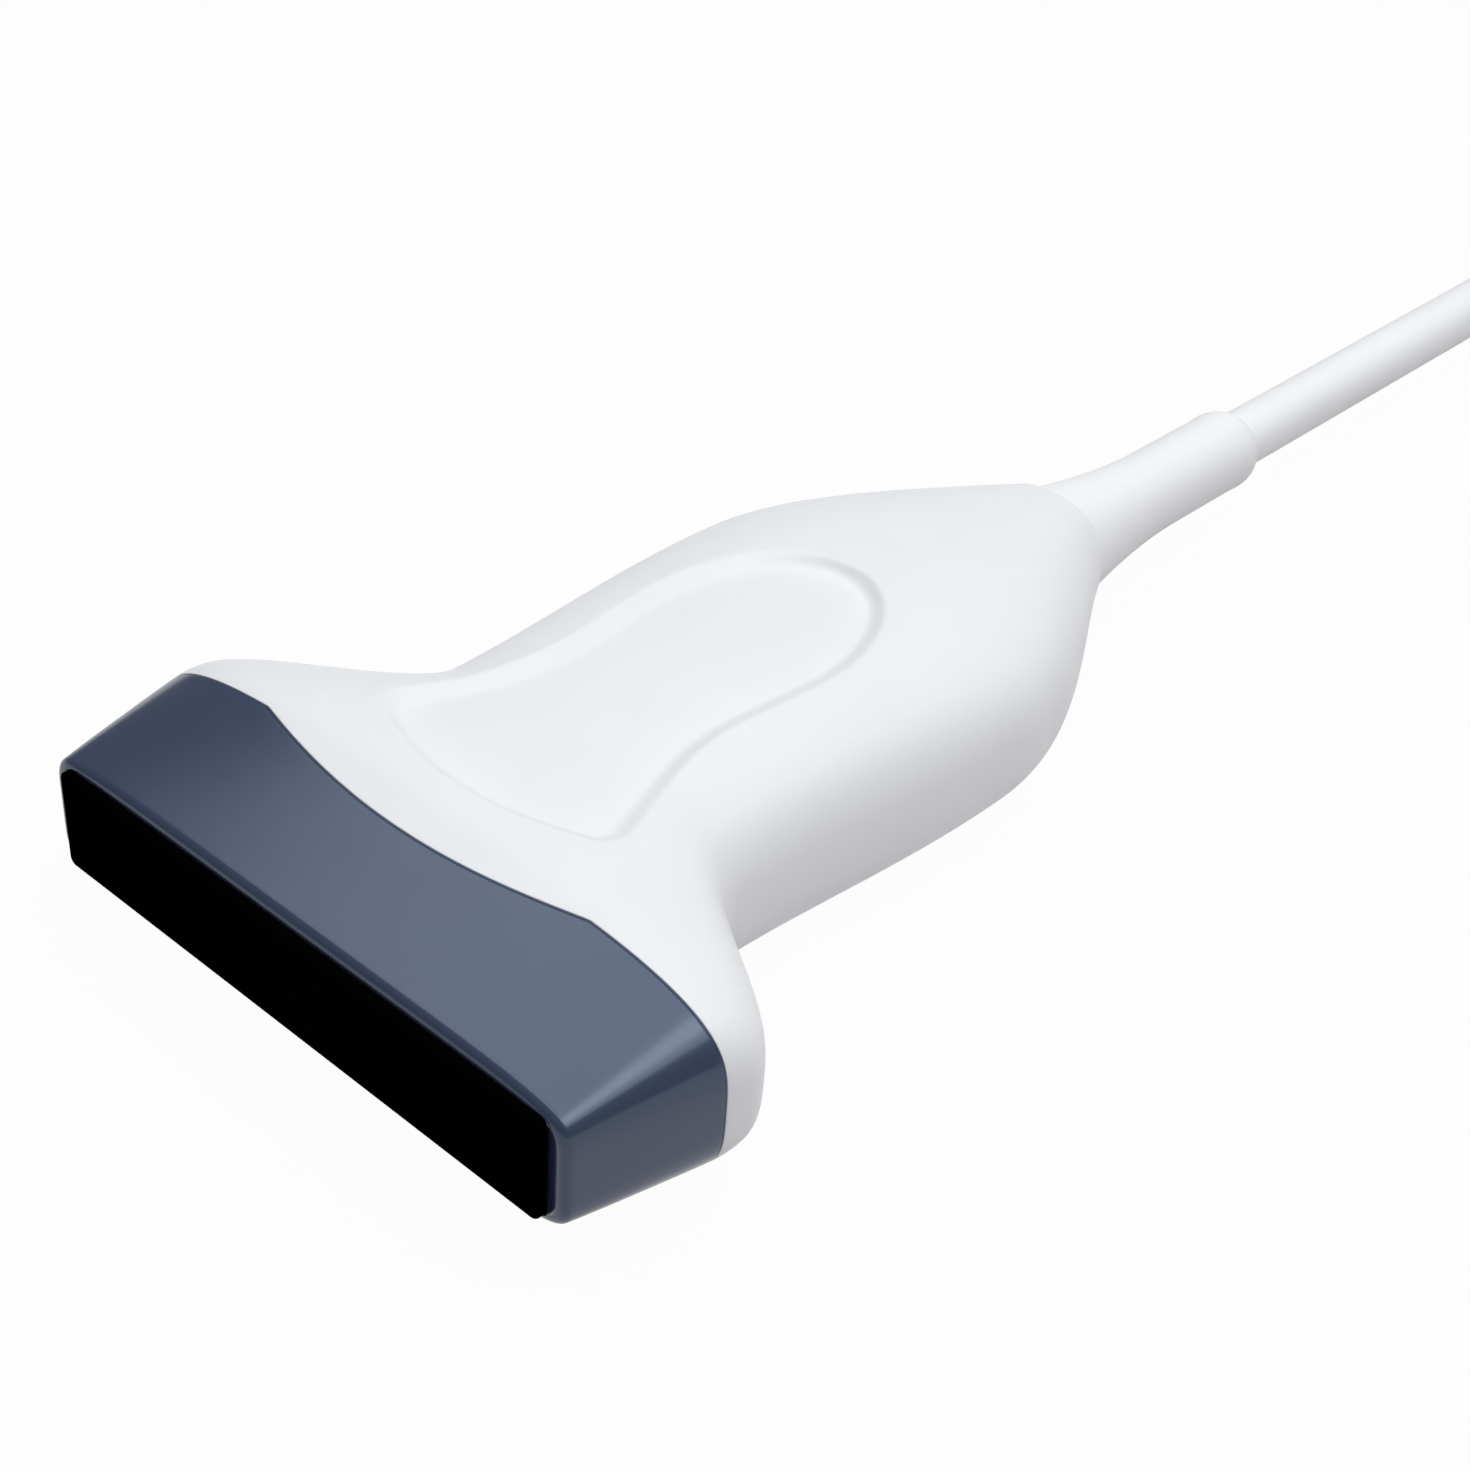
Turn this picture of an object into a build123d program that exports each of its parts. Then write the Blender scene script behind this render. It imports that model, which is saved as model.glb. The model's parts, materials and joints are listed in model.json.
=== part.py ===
from build123d import *
from math import copysign, cos, pi, sin
import os

# Linear-array ultrasound probe lying on its broad side. The lens looks along -Y, the cable leaves along +Y,
# X runs across the width and +Z is up. Distances are measured from the lens face along the probe.
os.makedirs("parts", exist_ok=True)

# Moulded outline: widths, thicknesses and the distances where they are reached
nose_front_width = 66.2
nose_front_thickness = 12.9
head_width = 73.4
head_thickness = 22.4
waist_width = 39.8
waist_thickness = 22.4
grip_width = 44.6
grip_thickness = 23.8
tail_width = 15.4
tail_thickness = 14.8
lens_proud = 0.9
seam_distance = 15.4
head_distance = 18.3
neck_distance = 29.0
waist_distance = 34.4
grip_crown_distance = 56.5
grip_distance = 73.0
tail_distance = 106.0
nose_squareness = 6.5
seam_squareness = 3.7
head_squareness = 2.8
tail_squareness = 2.4
tail_slope = 0.5
tail_drop = 0.25
section_points = 32
nose_span_count = 4
neck_span_count = 7
grip_span_count = 4
tail_span_count = 6

# Nose and seam
nose_front_radius = 0.7
nose_front_step_count = 3
seam_arc_width = 41.2
seam_arc_dip = 2.8
seam_gap = 0.25
seal_clearance = 0.03
gasket_recess = 0.3
spigot_length = 5.0
spigot_wall = 1.2
spigot_clearance = 0.25
spigot_span_count = 4
shoulder_distance = 11.5

# Handle shell
handle_wall = 2.2
cavity_end_distance = 98.0
cavity_front_span_count = 2
cavity_tail_span_count = 5
recess_depth = 0.9
recess_front_distance = 19.4
recess_corner_distance = 23.8
recess_waist_distance = 41.0
recess_back_distance = 56.0
recess_front_width = 30.0
recess_waist_width = 19.6
recess_back_width = 21.8
recess_round_length = 16.0
recess_corner_radius = 3.0
recess_side_slope = 0.35
recess_tail_span_count = 3
marker_length = 12.0
marker_width = 2.4
marker_height = 0.7
marker_distance = 50.0

# Acoustic stack
lens_width = 62.2
lens_height = 10.5
lens_thickness = 2.2
lens_corner_radius = 0.9
lens_edge_radius = 0.35
window_clearance = 0.05
carrier_wall = 1.2
stack_clearance = 0.05
outer_layer_thickness = 0.3
inner_layer_thickness = 0.4
piezo_thickness = 0.5
kerf_width = 0.12
kerf_depth = 0.35
element_count = 32
backing_thickness = 8.0
flange_thickness = 1.6

# Boards and wiring
board_thickness = 1.0
board_gap = 3.0
board_start_distance = 38.0
flex_thickness = 0.25
flex_overlap = 5.0
flex_shoulder_distance = 16.0
flex_taper_length = 16.0
flex_inset = 1.5
clamp_strip_height = 1.8
shield_thickness = 0.4
shield_clearance = 0.15
shield_margin = 2.0
spacer_width = 3.0
bundle_radius = 2.75
bundle_flat_width = 21.0
bundle_flat_height = 2.4
bundle_flat_radius = 0.8
bundle_fan_length = 9.0
bundle_overlap = 6.0
fan_gap = 0.5

# Strain relief and cable
cable_diameter = 7.0
cable_bore_clearance = 0.05
relief_base_radius = 7.1
relief_neck_radius = 4.75
relief_neck_distance = 127.0
relief_round_distance = 138.5
relief_end_distance = 143.3
relief_end_radius = 3.8
relief_base_slope = 0.19
relief_round_slope = 0.4
relief_shank_radius = 5.0
relief_flange_radius = 6.2
relief_flange_thickness = 1.6
jacket_end_distance = 128.0
ferrule_wall = 0.9
ferrule_length = 5.0
ferrule_clearance = 0.05
shank_clearance = 0.05

# Stored cable: lead, coil, tie and tail
coil_inner_turn_radius = 19.0
coil_outer_turn_radius = 42.0
coil_center_x = 10.0
coil_distance = 287.0
coil_entry_angle = 25.714
coil_stub_length = 27.0
coil_edge_radius = 3.2
coil_slack = 0.3
lead_level_length = 16.0
tail_bend_distance = 248.0
tail_level_distance = 254.0
bend_share = 0.45
tie_thickness = 0.8
tie_width = 10.0
tie_clearance = 0.05

# Connector
connector_width = 44.0
connector_length = 60.0
connector_height = 22.0
connector_wall = 2.0
connector_corner_radius = 6.0
connector_edge_radius = 2.5
connector_back_distance = 222.0
block_width = 35.0
block_height = 13.0
block_reach = 8.0
block_depth = 7.0
block_clearance = 0.05
block_lip = 1.4
block_lip_depth = 1.8
block_rim = 1.3
block_pocket = 1.2
pad_column_count = 16
pad_row_count = 4
pad_width = 1.1
pad_height = 1.5
pad_thickness = 0.15
pad_pitch_x = 2.0
pad_pitch_z = 2.6
connector_board_thickness = 1.2
connector_board_length = 34.0
boot_length = 22.0
boot_base_radius = 6.5
boot_tip_radius = 4.6
boot_flange_radius = 8.0
boot_flange_thickness = 1.6
boot_neck_radius = 5.4
boot_insertion = 10.0
boot_clearance = 0.05
screw_radius = 1.25
screw_head_radius = 2.4
screw_head_height = 1.6
screw_length = 12.0
screw_inset_x = 5.0
screw_inset_y = 12.0
screw_clearance = 0.15
screw_sink = 0.4
boss_radius = 3.2

# Values that follow from the sizes above
overall_length = relief_end_distance
axis_height = grip_thickness / 2
nose_run = (seam_distance + head_distance) / 2 - lens_proud
nose_width_slope = (head_width - nose_front_width) / nose_run
nose_thickness_slope = (head_thickness - nose_front_thickness) / nose_run
seam_width = nose_front_width + nose_width_slope * (seam_distance - lens_proud)
seam_thickness = nose_front_thickness + nose_thickness_slope * (seam_distance - lens_proud)
cable_radius = cable_diameter / 2
cable_bore_radius = cable_radius + cable_bore_clearance
spigot_inset = handle_wall + spigot_clearance
nose_cavity_inset = spigot_inset + spigot_wall
stack_start = lens_thickness
inner_layer_start = stack_start + outer_layer_thickness
piezo_start = inner_layer_start + inner_layer_thickness
backing_start = piezo_start + piezo_thickness
backing_end = backing_start + backing_thickness
window_width = lens_width + 2 * window_clearance
window_height = lens_height + 2 * window_clearance
stack_width = lens_width - 2 * (carrier_wall + stack_clearance)
stack_height = lens_height - 2 * (carrier_wall + stack_clearance)
shield_width = waist_width - 2 * (handle_wall + shield_margin)
board_width = shield_width - 2 * (shield_thickness + shield_clearance)
board_face = board_gap / 2 + board_thickness
shield_height = 2 * (board_face + flex_thickness + clamp_strip_height + shield_clearance + shield_thickness)
relief_flange_distance = cavity_end_distance - relief_flange_thickness
ferrule_start_distance = relief_flange_distance - ferrule_length
fan_end_distance = ferrule_start_distance - fan_gap
board_end_distance = fan_end_distance - bundle_fan_length
board_length = board_end_distance - board_start_distance
bundle_bore_radius = bundle_radius + cable_bore_clearance
coil_base_height = tie_thickness + tie_clearance
coil_bottom_height = coil_base_height + coil_slack + cable_radius
coil_top_height = coil_bottom_height + cable_diameter
coil_outer_radius = coil_outer_turn_radius + cable_radius + coil_slack
coil_inner_radius = coil_inner_turn_radius - cable_radius - coil_slack
coil_width = coil_outer_radius - coil_inner_radius
coil_height = 2 * (cable_diameter + coil_slack)
connector_x = coil_center_x + coil_outer_turn_radius
connector_axis_height = connector_height / 2
connector_front_distance = connector_back_distance - connector_length
connector_middle_distance = connector_back_distance - connector_length / 2
block_front_distance = connector_front_distance - block_reach
block_back_distance = connector_front_distance + block_depth
boot_tip_distance = connector_back_distance + boot_length
screw_x = connector_width / 2 - screw_inset_x
screw_y = connector_length / 2 - screw_inset_y
connector_board_width = 2 * (screw_x - boss_radius - screw_clearance)


def y_at(distance):
    """Model Y at a distance behind the lens face; the origin is midway along the probe."""
    return distance - overall_length / 2


def cross_plane(distance, x=0, z=axis_height):
    """Plane across the probe that faces the lens, with its own Y upwards."""
    return Plane(origin=(x, y_at(distance), z), x_dir=(1, 0, 0), z_dir=(0, -1, 0))


def smooth_value(knots, distance):
    """Value of a smooth curve through knots of distance, value and slope."""
    last = len(knots) - 2
    index = 0
    while index < last and distance > knots[index + 1][0]:
        index += 1
    start, value, slope = knots[index]
    end, next_value, next_slope = knots[index + 1]
    span = end - start
    t = (distance - start) / span
    rise = 3 * t**2 - 2 * t**3
    curve_in = (t**3 - 2 * t**2 + t) * span * slope
    curve_out = (t**3 - t**2) * span * next_slope
    return value * (1 - rise) + curve_in + next_value * rise + curve_out


width_knots = [
    (lens_proud, nose_front_width, nose_width_slope),
    (seam_distance, seam_width, nose_width_slope),
    (head_distance, head_width, 0),
    (waist_distance, waist_width, 0),
    (grip_distance, grip_width, 0),
    (tail_distance, tail_width, -2 * tail_slope),
]
thickness_knots = [
    (lens_proud, nose_front_thickness, nose_thickness_slope),
    (seam_distance, seam_thickness, nose_thickness_slope),
    (head_distance, head_thickness, 0),
    (neck_distance, waist_thickness, 0),
    (grip_crown_distance, grip_thickness, 0),
    (tail_distance, tail_thickness, -2 * tail_drop),
]
squareness_knots = [
    (lens_proud, nose_squareness, 0),
    (seam_distance, seam_squareness, 0),
    (neck_distance, head_squareness, 0),
    (grip_crown_distance, head_squareness, 0),
    (tail_distance, tail_squareness, 0),
]


def section_outline(distance, inset):
    """Points of the rounded section of the moulding, drawn in by an inset."""
    half_width = smooth_value(width_knots, distance) / 2 - inset
    half_thickness = smooth_value(thickness_knots, distance) / 2 - inset
    power = 2 / smooth_value(squareness_knots, distance)
    points = []
    for step in range(section_points):
        angle = 2 * pi * step / section_points
        across = copysign(abs(cos(angle)) ** power, cos(angle))
        upwards = copysign(abs(sin(angle)) ** power, sin(angle))
        points.append((half_width * across, half_thickness * upwards))
    return points


def section_face(distance, inset):
    """One filled section of the moulding."""
    with BuildSketch(cross_plane(distance)) as section:
        with BuildLine():
            Spline(*section_outline(distance, inset), periodic=True)
        make_face()
    return section.sketch.face()


def evenly(start, end, count):
    """Distances from start to end, both included."""
    return [start + (end - start) * step / count for step in range(count + 1)]


def moulding_sections(distances, inset=0):
    return [section_face(distance, inset) for distance in distances]


nose_stations = evenly(lens_proud + nose_front_radius, head_distance, nose_span_count)
neck_stations = evenly(head_distance, waist_distance, neck_span_count)[1:]
grip_stations = evenly(waist_distance, grip_distance, grip_span_count)[1:]
tail_stations = evenly(grip_distance, tail_distance, tail_span_count)[1:]
cavity_tail_stations = evenly(grip_distance, cavity_end_distance, cavity_tail_span_count)[1:]



def front_section(step):
    """Section of the rounded front edge, drawn in less and less from the front backwards."""
    turn = pi / 2 * step / nose_front_step_count
    distance = lens_proud + nose_front_radius * (1 - cos(turn))
    return section_face(distance, nose_front_radius * (1 - sin(turn)))


with BuildPart() as moulding:
    loft(moulding_sections(nose_stations + neck_stations + grip_stations + tail_stations))
    loft([front_section(step) for step in range(nose_front_step_count + 1)], ruled=True)


def behind_seam(shift):
    """Everything behind the seam line, which runs straight across with a shallow arc in the middle."""
    seam_y = y_at(seam_distance + shift)
    reach = head_width
    far_y = y_at(tail_distance + reach)
    with BuildPart() as region:
        with BuildSketch(Plane.XY):
            with BuildLine():
                Line((-reach, seam_y), (-seam_arc_width / 2, seam_y))
                ThreePointArc(
                    (-seam_arc_width / 2, seam_y), (0, seam_y - seam_arc_dip), (seam_arc_width / 2, seam_y)
                )
                Polyline((seam_arc_width / 2, seam_y), (reach, seam_y), (reach, far_y), (-reach, far_y))
                Line((-reach, far_y), (-reach, seam_y))
            make_face()
        extrude(amount=axis_height + head_thickness, both=True)
    return region.part


# Nose: blue-grey moulding with the lens window, the array pocket and a spigot that enters the handle
spigot_end_distance = seam_distance + spigot_length
spigot_stations = evenly(shoulder_distance, spigot_end_distance, spigot_span_count)
with BuildPart() as nose_housing:
    add(moulding.part)
    add(behind_seam(-seam_gap / 2), mode=Mode.SUBTRACT)
    loft(moulding_sections(spigot_stations, spigot_inset))
    loft(moulding_sections(spigot_stations, nose_cavity_inset), mode=Mode.SUBTRACT)
    with BuildSketch(cross_plane(0)):
        RectangleRounded(window_width, window_height, lens_corner_radius + window_clearance)
    extrude(amount=-shoulder_distance, mode=Mode.SUBTRACT)
nose_housing.part.label = "nose_housing"
export_step(nose_housing.part, "parts/nose_housing.step")

# Bonded seal that fills the seam, a little below the outer surface
with BuildPart() as seam_band:
    add(behind_seam(seal_clearance - seam_gap / 2))
    add(behind_seam(seam_gap / 2 - seal_clearance), mode=Mode.SUBTRACT)
with BuildPart() as seam_seal:
    loft(moulding_sections(spigot_stations, gasket_recess))
    loft(moulding_sections(spigot_stations, handle_wall), mode=Mode.SUBTRACT)
    add(seam_band.part, mode=Mode.INTERSECT)
seam_seal.part.label = "seam_seal"
export_step(seam_seal.part, "parts/seam_seal.step")

# Thumb recess outline on the broad side, the same above and below
with BuildSketch(Plane.XY) as recess_outline:
    with BuildLine():
        front_corner = (recess_front_width / 2, y_at(recess_corner_distance))
        back_corner = (recess_back_width / 2, y_at(recess_back_distance))
        ThreePointArc(
            (-front_corner[0], front_corner[1]), (0, y_at(recess_front_distance)), front_corner
        )
        Spline(
            front_corner,
            (recess_waist_width / 2, y_at(recess_waist_distance)),
            back_corner,
            tangents=((-recess_side_slope, 1), (0, 1)),
        )
        EllipticalCenterArc(
            (0, y_at(recess_back_distance)), recess_back_width / 2, recess_round_length, 0, arc_size=180
        )
        Spline(
            (-back_corner[0], back_corner[1]),
            (-recess_waist_width / 2, y_at(recess_waist_distance)),
            (-front_corner[0], front_corner[1]),
            tangents=((0, -1), (-recess_side_slope, -1)),
        )
    make_face()
    fillet(recess_outline.vertices().sort_by(Axis.Y)[:2], radius=recess_corner_radius)

# Handle: white one-piece shell from the head rim to the tail
cavity_front_distance = seam_distance - seam_arc_dip - handle_wall
rim_stations = evenly(cavity_front_distance, head_distance, cavity_front_span_count)
cavity_stations = rim_stations + neck_stations + grip_stations + cavity_tail_stations
lowered_stations = rim_stations + neck_stations + grip_stations + tail_stations[:recess_tail_span_count]
with BuildPart() as recess_cut:
    add(recess_outline.sketch)
    extrude(amount=axis_height + head_thickness, both=True)
    loft(moulding_sections(lowered_stations, recess_depth), mode=Mode.SUBTRACT)
with BuildPart() as handle_shell:
    add(moulding.part)
    add(behind_seam(seam_gap / 2), mode=Mode.INTERSECT)
    add(recess_cut.part, mode=Mode.SUBTRACT)
    loft(moulding_sections(cavity_stations, handle_wall), mode=Mode.SUBTRACT)
    with BuildSketch(cross_plane(tail_distance)):
        Circle(relief_shank_radius)
    extrude(amount=tail_distance - cavity_end_distance, mode=Mode.SUBTRACT)
    marker_x = -smooth_value(width_knots, marker_distance) / 2
    marker_plane = Plane(
        origin=(marker_x - marker_height, y_at(marker_distance), axis_height),
        x_dir=(0, 1, 0),
        z_dir=(1, 0, 0),
    )
    with BuildSketch(marker_plane):
        SlotOverall(marker_length, marker_width)
    extrude(amount=marker_height + handle_wall / 2)
handle_shell.part.label = "handle_shell"
export_step(handle_shell.part, "parts/handle_shell.step")


def slab(distance, width, height, depth):
    """Plain rectangular layer across the probe, from a distance backwards."""
    with BuildPart() as layer:
        with BuildSketch(cross_plane(distance)):
            Rectangle(width, height)
        extrude(amount=-depth)
    return layer.part


# Acoustic stack from the face inwards: lens, two matching layers, diced ceramic and absorbing backing
with BuildPart() as acoustic_lens:
    with BuildSketch(cross_plane(0)):
        RectangleRounded(lens_width, lens_height, lens_corner_radius)
    extrude(amount=-lens_thickness)
    fillet(acoustic_lens.faces().sort_by(Axis.Y)[0].edges(), radius=lens_edge_radius)
acoustic_lens.part.label = "acoustic_lens"
export_step(acoustic_lens.part, "parts/acoustic_lens.step")

with BuildPart() as matching_layer_outer:
    add(slab(stack_start, stack_width, stack_height, outer_layer_thickness))
matching_layer_outer.part.label = "matching_layer_outer"
export_step(matching_layer_outer.part, "parts/matching_layer_outer.step")

with BuildPart() as matching_layer_inner:
    add(slab(inner_layer_start, stack_width, stack_height, inner_layer_thickness))
matching_layer_inner.part.label = "matching_layer_inner"
export_step(matching_layer_inner.part, "parts/matching_layer_inner.step")

with BuildPart() as piezo_array:
    add(slab(piezo_start, stack_width, stack_height, piezo_thickness))
    with BuildSketch(cross_plane(piezo_start)):
        with GridLocations(stack_width / element_count, 0, element_count - 1, 1):
            Rectangle(kerf_width, stack_height)
    extrude(amount=-kerf_depth, mode=Mode.SUBTRACT)
piezo_array.part.label = "piezo_array"
export_step(piezo_array.part, "parts/piezo_array.step")

with BuildPart() as backing_block:
    add(slab(backing_start, stack_width, stack_height, backing_thickness))
backing_block.part.label = "backing_block"
export_step(backing_block.part, "parts/backing_block.step")

# Carrier: a frame round the stack with a flange that seats on the shoulder inside the nose
with BuildPart() as array_carrier:
    with BuildSketch(cross_plane(stack_start)):
        RectangleRounded(lens_width, lens_height, lens_corner_radius)
    extrude(amount=stack_start - shoulder_distance)
    flange_face = section_face(shoulder_distance, nose_cavity_inset + window_clearance)
    extrude(flange_face, amount=flange_thickness, dir=(0, 1, 0))
    with BuildSketch(cross_plane(stack_start)):
        Rectangle(stack_width + 2 * stack_clearance, stack_height + 2 * stack_clearance)
    extrude(amount=stack_start - shoulder_distance - flange_thickness, mode=Mode.SUBTRACT)
array_carrier.part.label = "array_carrier"
export_step(array_carrier.part, "parts/array_carrier.step")

# Flexible circuits: wide at the array, narrowed through the neck, one on each board
flex_wide = stack_width / 2 - flex_inset
flex_narrow = board_width / 2 - flex_inset
flex_end_distance = board_start_distance + flex_overlap


def flex_circuit(base_height):
    """One flexible circuit whose lower face is at a height above the table."""
    taper_end = flex_shoulder_distance + flex_taper_length
    right_side = [
        (flex_wide, y_at(backing_end)),
        (flex_wide, y_at(flex_shoulder_distance)),
        (flex_narrow, y_at(taper_end)),
        (flex_narrow, y_at(flex_end_distance)),
    ]
    left_side = [(-x, y) for x, y in reversed(right_side)]
    with BuildPart() as circuit:
        with BuildSketch(Plane.XY.offset(base_height)):
            with BuildLine():
                Polyline(*right_side, *left_side, close=True)
            make_face()
        extrude(amount=flex_thickness)
    return circuit.part


with BuildPart() as flex_circuit_top:
    add(flex_circuit(axis_height + board_face))
flex_circuit_top.part.label = "flex_circuit_top"
export_step(flex_circuit_top.part, "parts/flex_circuit_top.step")

with BuildPart() as flex_circuit_bottom:
    add(flex_circuit(axis_height - board_face - flex_thickness))
flex_circuit_bottom.part.label = "flex_circuit_bottom"
export_step(flex_circuit_bottom.part, "parts/flex_circuit_bottom.step")

# Termination boards, the rails between them and the strips that clamp the flexible circuits
board_middle_y = y_at(board_start_distance + board_length / 2)
with BuildPart() as termination_board_top:
    with BuildSketch(Plane.XY.offset(axis_height + board_gap / 2)):
        with Locations((0, board_middle_y)):
            Rectangle(board_width, board_length)
    extrude(amount=board_thickness)
termination_board_top.part.label = "termination_board_top"
export_step(termination_board_top.part, "parts/termination_board_top.step")

with BuildPart() as termination_board_bottom:
    with BuildSketch(Plane.XY.offset(axis_height - board_gap / 2)):
        with Locations((0, board_middle_y)):
            Rectangle(board_width, board_length)
    extrude(amount=-board_thickness)
termination_board_bottom.part.label = "termination_board_bottom"
export_step(termination_board_bottom.part, "parts/termination_board_bottom.step")

with BuildPart() as board_spacers:
    with BuildSketch(Plane.XY.offset(axis_height - board_gap / 2)):
        with Locations((0, board_middle_y)):
            with GridLocations(board_width - spacer_width, 0, 2, 1):
                Rectangle(spacer_width, board_length)
    extrude(amount=board_gap)
board_spacers.part.label = "board_spacers"
export_step(board_spacers.part, "parts/board_spacers.step")

clamp_base = board_face + flex_thickness
with BuildPart() as flex_clamps:
    for height, rise in ((axis_height + clamp_base, 1), (axis_height - clamp_base, -1)):
        with BuildSketch(Plane.XY.offset(height)):
            with Locations((0, y_at(board_start_distance + flex_overlap / 2))):
                Rectangle(2 * flex_narrow, flex_overlap)
        extrude(amount=rise * clamp_strip_height)
flex_clamps.part.label = "flex_clamps"
export_step(flex_clamps.part, "parts/flex_clamps.step")

# Screen of thin sheet folded round the boards
with BuildPart() as shield_sleeve:
    with BuildSketch(cross_plane(board_start_distance)):
        Rectangle(shield_width, shield_height)
        Rectangle(
            shield_width - 2 * shield_thickness, shield_height - 2 * shield_thickness, mode=Mode.SUBTRACT
        )
    extrude(amount=-board_length)
shield_sleeve.part.label = "shield_sleeve"
export_step(shield_sleeve.part, "parts/shield_sleeve.step")

# Stripped coaxial cores: flat between the boards, gathered into a round bundle towards the cable
with BuildPart() as coax_bundle:
    with BuildSketch(cross_plane(board_end_distance - bundle_overlap)):
        RectangleRounded(bundle_flat_width, bundle_flat_height, bundle_flat_radius)
    extrude(amount=-bundle_overlap)
    with BuildSketch(cross_plane(board_end_distance)) as flat_end:
        RectangleRounded(bundle_flat_width, bundle_flat_height, bundle_flat_radius)
    with BuildSketch(cross_plane(fan_end_distance)) as round_end:
        Circle(bundle_radius)
    loft([flat_end.sketch.face(), round_end.sketch.face()])
    with BuildSketch(cross_plane(fan_end_distance)):
        Circle(bundle_radius)
    extrude(amount=fan_end_distance - jacket_end_distance)
coax_bundle.part.label = "coax_bundle"
export_step(coax_bundle.part, "parts/coax_bundle.step")

with BuildPart() as crimp_ferrule:
    with BuildSketch(cross_plane(ferrule_start_distance)):
        Circle(bundle_radius + ferrule_clearance + ferrule_wall)
        Circle(bundle_radius + ferrule_clearance, mode=Mode.SUBTRACT)
    extrude(amount=-ferrule_length)
crimp_ferrule.part.label = "crimp_ferrule"
export_step(crimp_ferrule.part, "parts/crimp_ferrule.step")

# Strain relief: flange inside the tail, shank through it, flared base outside and a slim rounded sleeve
probe_plane = Plane(origin=(0, y_at(0), axis_height), x_dir=(1, 0, 0), z_dir=(0, 0, 1))
probe_axis = Axis((0, 0, axis_height), (0, 1, 0))
relief_shank = relief_shank_radius - shank_clearance
with BuildPart() as strain_relief:
    with BuildSketch(probe_plane):
        with BuildLine():
            Polyline(
                (cable_bore_radius, relief_end_distance),
                (cable_bore_radius, jacket_end_distance),
                (bundle_bore_radius, jacket_end_distance),
                (bundle_bore_radius, relief_flange_distance),
                (relief_flange_radius, relief_flange_distance),
                (relief_flange_radius, cavity_end_distance),
                (relief_shank, cavity_end_distance),
                (relief_shank, tail_distance),
                (relief_base_radius, tail_distance),
            )
            Spline(
                (relief_base_radius, tail_distance),
                (relief_neck_radius, relief_neck_distance),
                tangents=((-relief_base_slope, 1), (0, 1)),
            )
            Line((relief_neck_radius, relief_neck_distance), (relief_neck_radius, relief_round_distance))
            Spline(
                (relief_neck_radius, relief_round_distance),
                (relief_end_radius, relief_end_distance),
                tangents=((0, 1), (-1, relief_round_slope)),
            )
            Line((relief_end_radius, relief_end_distance), (cable_bore_radius, relief_end_distance))
        make_face()
    revolve(axis=probe_axis)
strain_relief.part.label = "strain_relief"
export_step(strain_relief.part, "parts/strain_relief.step")


def bend_radii(points):
    """Largest smooth bend at each inner point: its arc takes a set share of the shorter run."""
    radii = []
    for before, corner, after in zip(points, points[1:], points[2:]):
        run_in = Vector(*corner) - Vector(*before)
        run_out = Vector(*after) - Vector(*corner)
        half_turn = run_in.get_angle(run_out) * pi / 360
        shorter = min(run_in.length, run_out.length)
        radii.append(bend_share * shorter * cos(half_turn) / sin(half_turn))
    return radii


def cable_along(points):
    """Cable solid along straight runs joined by smooth bends, starting across the probe's axis."""
    radii = bend_radii(points)
    with BuildPart() as tube:
        with BuildLine() as path:
            FilletPolyline(*points, radius=radii)
        with BuildSketch(Plane(origin=points[0], x_dir=(1, 0, 0), z_dir=(0, 1, 0))):
            Circle(cable_radius)
        sweep()
    length = path.wires()[0].length
    fill = tube.part.volume / (pi * cable_radius**2 * length)
    print("cable length", round(length, 1), "bend radii", [round(r) for r in radii], "fill", round(fill, 4))
    return tube.part


# Cable from inside the strain relief, straight on, then down and aside to the lower row of the coil
entry_turn = coil_entry_angle * pi / 180
entry_heading = Vector(-sin(entry_turn), cos(entry_turn), 0)
coil_center = Vector(coil_center_x, y_at(coil_distance), coil_bottom_height)
coil_entry = coil_center - coil_outer_turn_radius * Vector(cos(entry_turn), sin(entry_turn), 0)
lead_end = coil_entry - coil_stub_length * entry_heading
lead_level = lead_end - lead_level_length * entry_heading
lead_bend_y = lead_level.Y + lead_level.X * cos(entry_turn) / sin(entry_turn)
with BuildPart() as cable:
    add(
        cable_along(
            [
                (0, y_at(jacket_end_distance), axis_height),
                (0, lead_bend_y, axis_height),
                tuple(lead_level),
                tuple(lead_end),
            ]
        )
    )
cable.part.label = "cable"
export_step(cable.part, "parts/cable.step")

# Coil: outer shape of the two rows of turns, with the straight starts of both ends
coil_axis = Axis((coil_center_x, y_at(coil_distance), 0), (0, 0, 1))
coil_middle_radius = (coil_outer_radius + coil_inner_radius) / 2
coil_section_plane = cross_plane(
    coil_distance, x=coil_center_x + coil_middle_radius, z=coil_base_height + coil_height / 2
)
with BuildPart() as cable_coil:
    with BuildSketch(coil_section_plane):
        RectangleRounded(coil_width, coil_height, coil_edge_radius)
    revolve(axis=coil_axis)
    with BuildSketch(Plane(origin=coil_entry, x_dir=(0, 0, 1), z_dir=-entry_heading)):
        Circle(cable_radius)
    extrude(amount=coil_stub_length)
    with BuildSketch(cross_plane(coil_distance, x=connector_x, z=coil_top_height)):
        Circle(cable_radius)
    extrude(amount=coil_stub_length)
cable_coil.part.label = "cable_coil"
export_step(cable_coil.part, "parts/cable_coil.step")

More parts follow.
